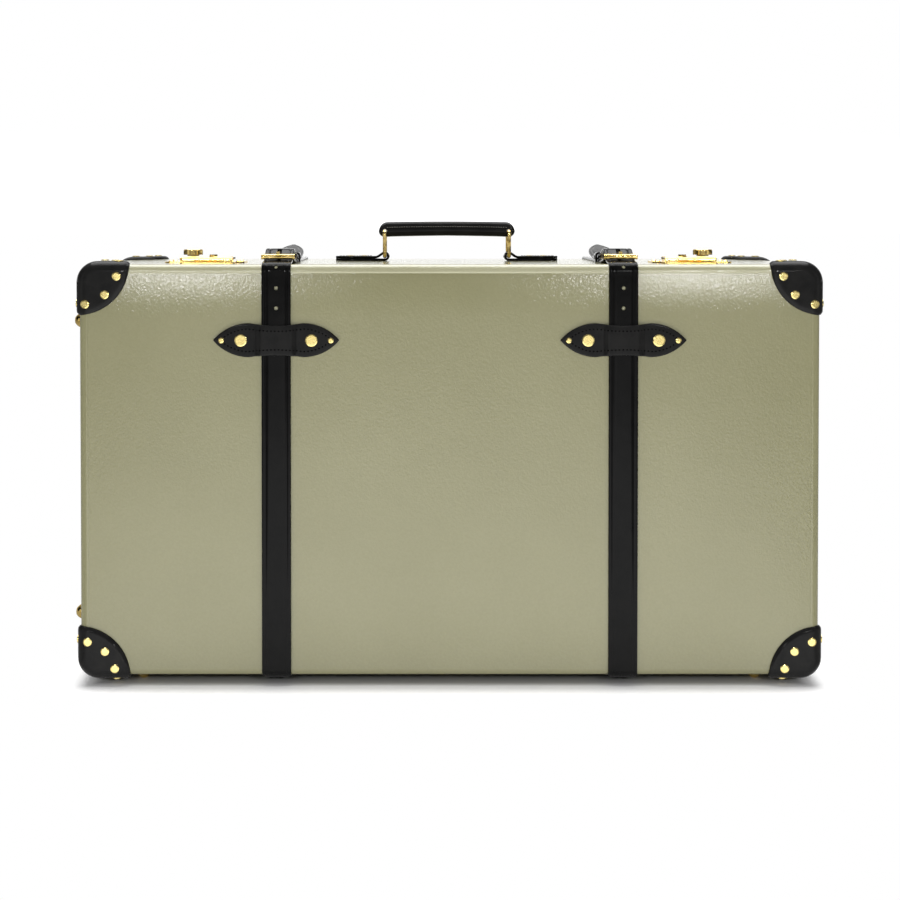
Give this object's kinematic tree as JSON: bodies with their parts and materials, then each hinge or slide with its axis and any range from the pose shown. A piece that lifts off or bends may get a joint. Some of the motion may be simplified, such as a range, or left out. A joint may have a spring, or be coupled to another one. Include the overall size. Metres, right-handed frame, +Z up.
{
  "type": "suitcase",
  "caption": "Hard suitcase in sage fibre with black leather corners, buckled straps and handle, brass locks and studs; the lid opens on bottom hinges.",
  "frame": {"origin": "on the floor under the centre of the case, level with the flat tips of the dome feet", "axes": "+X along the case to the right as seen from the lid, +Y from the lid to the back, +Z up through the handle"},
  "size_m": [0.8565, 0.2684, 0.5287],
  "materials": {
    "fibre": "satin vulcanised fibre, sage green",
    "leather": "smooth black bridle leather",
    "brass": "polished brass",
    "lining": "plain woven cotton lining",
    "steel": "plain strip inside the grip"
  },
  "bodies": {
    "base": {"base_shell": "fibre", "base_lining": "lining", "base_frame": "fibre", "cap_rear_top_left": "leather", "cap_rear_top_right": "leather", "cap_rear_bottom_left": "leather", "cap_rear_bottom_right": "leather", "base_cap_rivets": "brass", "base_studs": "brass", "hinge_base_leaves": "brass", "hinge_pins": "brass", "strap_rear_left": "leather", "strap_rear_right": "leather", "rear_keeper_left": "leather", "rear_keeper_right": "leather", "rear_keeper_rivets": "brass", "chape_left": "leather", "chape_right": "leather", "chape_rivets": "brass", "lock_body_left": "brass", "lock_body_right": "brass", "lock_screws": "brass"},
    "ring_left": {"handle_ring_left": "brass"},
    "ring_right": {"handle_ring_right": "brass"},
    "grip": {"handle_grip": "leather", "grip_core": "steel"},
    "hasp_left": {"hasp_left": "brass"},
    "knob_left": {"lock_knob_left": "brass"},
    "key_left": {"key_cylinder_left": "brass"},
    "strap_end_left": {"strap_top_left": "leather", "buckle_frame_left": "brass", "strap_tail_left": "leather", "strap_loop_left": "leather"},
    "prong_left": {"buckle_prong_left": "brass"},
    "hasp_right": {"hasp_right": "brass"},
    "knob_right": {"lock_knob_right": "brass"},
    "key_right": {"key_cylinder_right": "brass"},
    "strap_end_right": {"strap_top_right": "leather", "buckle_frame_right": "brass", "strap_tail_right": "leather", "strap_loop_right": "leather"},
    "prong_right": {"buckle_prong_right": "brass"},
    "lid": {"lid_shell": "fibre", "lid_lining": "lining", "cap_front_top_left": "leather", "cap_front_top_right": "leather", "cap_front_bottom_left": "leather", "cap_front_bottom_right": "leather", "lid_cap_rivets": "brass", "lid_studs": "brass", "hinge_lid_leaves": "brass", "strap_front_left": "leather", "strap_front_right": "leather", "front_keeper_left": "leather", "front_keeper_right": "leather", "front_keeper_rivets": "brass", "hasp_plate_left": "brass", "hasp_plate_right": "brass", "hasp_pins": "brass"}
  },
  "joints": [
    {"name": "lid_hinge", "type": "hinge", "parent": "base", "child": "lid", "pos_m": [0, -0.062, 0.0073], "axis": [1, 0, 0], "range_deg": [0, 100]},
    {"name": "handle_swing", "type": "hinge", "parent": "base", "child": "ring_left", "pos_m": [-0.077, 0.033, 0.4853], "axis": [0, 1, 0], "range_deg": [-58, 58]},
    {"name": "ring_right_swing", "type": "hinge", "parent": "base", "child": "ring_right", "pos_m": [0.077, 0.033, 0.4853], "axis": [0, 1, 0], "range_deg": [-58, 58]},
    {"name": "grip_swing", "type": "hinge", "parent": "ring_left", "child": "grip", "pos_m": [-0.077, 0.033, 0.5163], "axis": [0, 1, 0], "range_deg": [-58, 58]},
    {"name": "hasp_left_lift", "type": "hinge", "parent": "lid", "child": "hasp_left", "pos_m": [-0.28104, -0.082, 0.4838], "axis": [1, 0, 0], "range_deg": [0, 110]},
    {"name": "knob_left_slide", "type": "slide", "parent": "base", "child": "knob_left", "axis": [1, 0, 0], "range_m": [0, 0.0075]},
    {"name": "key_left_turn", "type": "hinge", "parent": "base", "child": "key_left", "pos_m": [-0.28104, -0.034, 0.4812], "axis": [0, 0, 1], "range_deg": [0, 90]},
    {"name": "strap_end_left_lift", "type": "hinge", "parent": "base", "child": "strap_end_left", "pos_m": [-0.19656, 0.1168, 0.4826], "axis": [-1, 0, 0], "range_deg": [0, 100]},
    {"name": "prong_left_lift", "type": "hinge", "parent": "strap_end_left", "child": "prong_left", "pos_m": [-0.19656, -0.076, 0.488], "axis": [-1, 0, 0], "range_deg": [0, 8]},
    {"name": "hasp_right_lift", "type": "hinge", "parent": "lid", "child": "hasp_right", "pos_m": [0.28104, -0.082, 0.4838], "axis": [1, 0, 0], "range_deg": [0, 110]},
    {"name": "knob_right_slide", "type": "slide", "parent": "base", "child": "knob_right", "axis": [-1, 0, 0], "range_m": [0, 0.0075]},
    {"name": "key_right_turn", "type": "hinge", "parent": "base", "child": "key_right", "pos_m": [0.28104, -0.034, 0.4812], "axis": [0, 0, 1], "range_deg": [0, 90]},
    {"name": "strap_end_right_lift", "type": "hinge", "parent": "base", "child": "strap_end_right", "pos_m": [0.19656, 0.1168, 0.4826], "axis": [-1, 0, 0], "range_deg": [0, 100]},
    {"name": "prong_right_lift", "type": "hinge", "parent": "strap_end_right", "child": "prong_right", "pos_m": [0.19656, -0.076, 0.488], "axis": [-1, 0, 0], "range_deg": [0, 8]}
  ],
  "couplings": [
    {"joint": "ring_right_swing", "follows": "handle_swing", "ratio": 1},
    {"joint": "grip_swing", "follows": "handle_swing", "ratio": -1}
  ]
}
